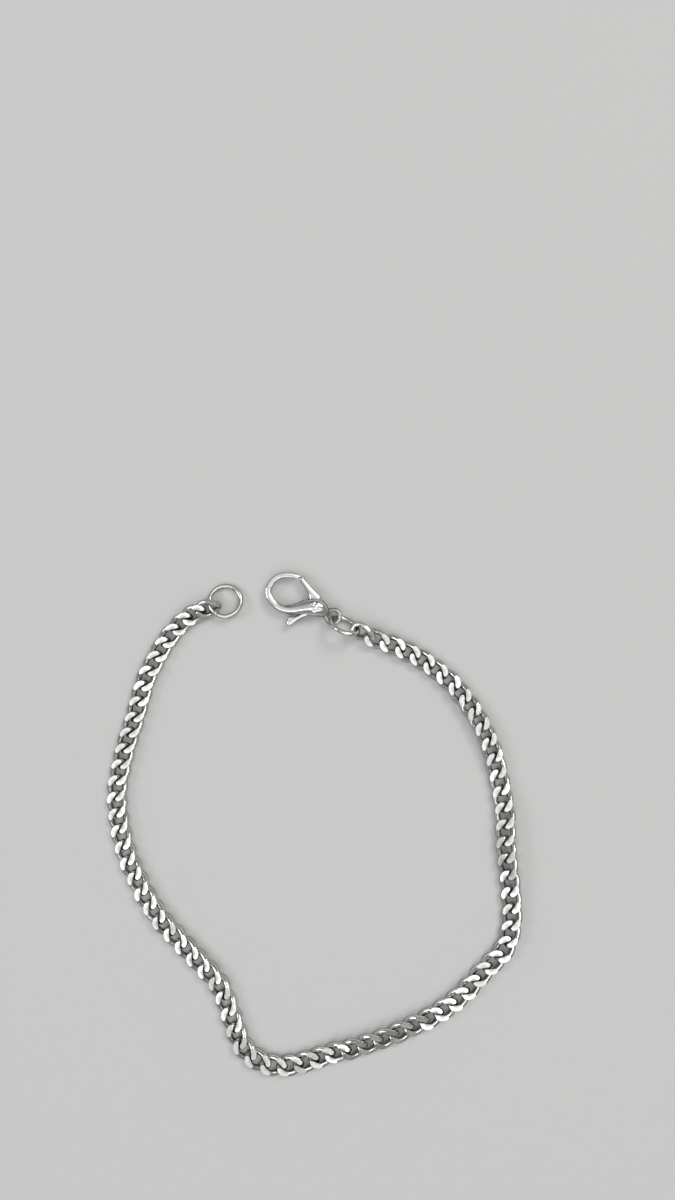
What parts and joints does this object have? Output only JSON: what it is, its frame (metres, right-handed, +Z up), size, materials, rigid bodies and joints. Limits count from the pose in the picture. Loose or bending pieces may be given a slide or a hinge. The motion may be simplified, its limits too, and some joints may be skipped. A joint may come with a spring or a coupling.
{
  "type": "curb chain bracelet",
  "caption": "Flat-cut curb chain bracelet in polished metal, unfastened and lying flat in an open loop, with a lobster clasp on a jump ring at one end and a round ring at the other.",
  "frame": {"origin": "middle of the space that the lying bracelet covers, on the surface it lies on (z = 0)", "axes": "+Z up, away from the surface; +Y along the loop's longer way, towards the two unfastened ends; +X to the right as seen from above, where the clasp's end of the chain runs"},
  "size_m": [0.0626, 0.0751, 0.0038],
  "materials": {
    "polished_chain": "polished silver-coloured metal, faces cut flat and bright",
    "polished_clasp": "polished silver-coloured casting, slightly worn",
    "polished_ring": "polished wire, a little warmer than the chain"
  },
  "bodies": {
    "bracelet": {"chain": "polished_chain", "first_link": "polished_chain", "last_link": "polished_chain", "clasp_body": "polished_clasp", "clasp_rivet": "polished_clasp", "jump_ring": "polished_ring", "end_ring": "polished_ring"},
    "lever": {"clasp_lever": "polished_clasp"}
  },
  "joints": [
    {"name": "lever_hinge", "type": "hinge", "parent": "bracelet", "child": "lever", "pos_m": [0.00031, 0.03252, 0.00123], "axis": [0, 0, 1], "range_deg": [0, 28], "stiffness_Nm_per_rad": 0.005, "springref_deg": -22.92}
  ]
}
